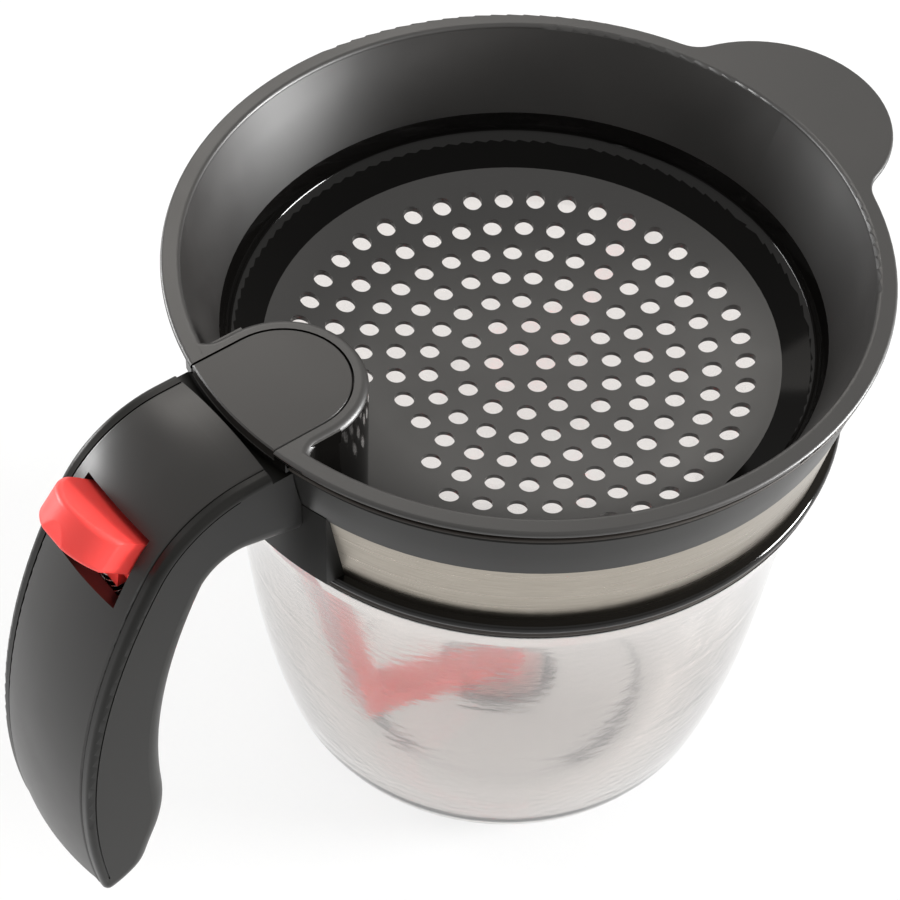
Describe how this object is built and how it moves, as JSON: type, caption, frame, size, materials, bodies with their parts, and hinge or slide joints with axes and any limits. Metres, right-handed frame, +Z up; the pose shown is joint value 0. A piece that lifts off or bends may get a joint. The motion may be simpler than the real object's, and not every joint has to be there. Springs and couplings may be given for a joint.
{
  "type": "gravy fat separator",
  "caption": "Clear jug with a lift-out perforated strainer funnel, steel-banded black collar, curved C-handle, and a red thumb lever that lifts a drain plug in the floor.",
  "frame": {"origin": "on the jar's axis, at the plane the foot ring stands on", "axes": "+Z up along the jar's axis; the handle points along -X and the strainer's lift tab along +X; the XZ plane is the mirror plane"},
  "size_m": [0.2189, 0.1504, 0.1436],
  "materials": {
    "black_plastic": "satin, fine grain",
    "gloss_black": "gloss",
    "grip_plastic": "satin, soft",
    "red_plastic": "semi gloss",
    "clear_plastic": "clear, polished",
    "steel_band": "brushed round the band",
    "pin_steel": "turned",
    "seal_rubber": "matt",
    "red_seal": "matt"
  },
  "bodies": {
    "base": {"jar": "clear_plastic", "drain_seat": "clear_plastic", "collar": "gloss_black", "collar_band": "steel_band", "collar_base_ring": "gloss_black", "collar_seal": "seal_rubber", "rod_guide": "gloss_black", "guide_screws": "pin_steel", "handle_body": "grip_plastic", "handle_spine": "black_plastic", "handle_screws": "pin_steel", "lever_pin": "pin_steel", "lever_spring": "pin_steel"},
    "strainer": {"strainer": "black_plastic", "hub_cover": "black_plastic", "strainer_seal": "seal_rubber"},
    "lever": {"lever": "red_plastic", "lever_washers": "pin_steel"},
    "rod": {"valve_rod": "red_plastic", "rod_pin": "pin_steel", "valve_plug": "red_seal", "plug_washer": "pin_steel"}
  },
  "joints": [
    {"name": "strainer_lift", "type": "slide", "parent": "base", "child": "strainer", "axis": [0, 0, 1], "range_m": [0, 0.045]},
    {"name": "lever_press", "type": "hinge", "parent": "base", "child": "lever", "pos_m": [-0.086, 0, 0.1305], "axis": [0, -1, 0], "range_deg": [0, 10], "stiffness_Nm_per_rad": 0.5, "springref_deg": -8.59, "deforming": ["lever_spring"]},
    {"name": "rod_lift", "type": "slide", "parent": "base", "child": "rod", "axis": [0, 0, 1], "range_m": [0, 0.0051]}
  ],
  "couplings": [
    {"joint": "lever_press", "follows": "rod_lift", "rad_per_m": 34.15}
  ]
}
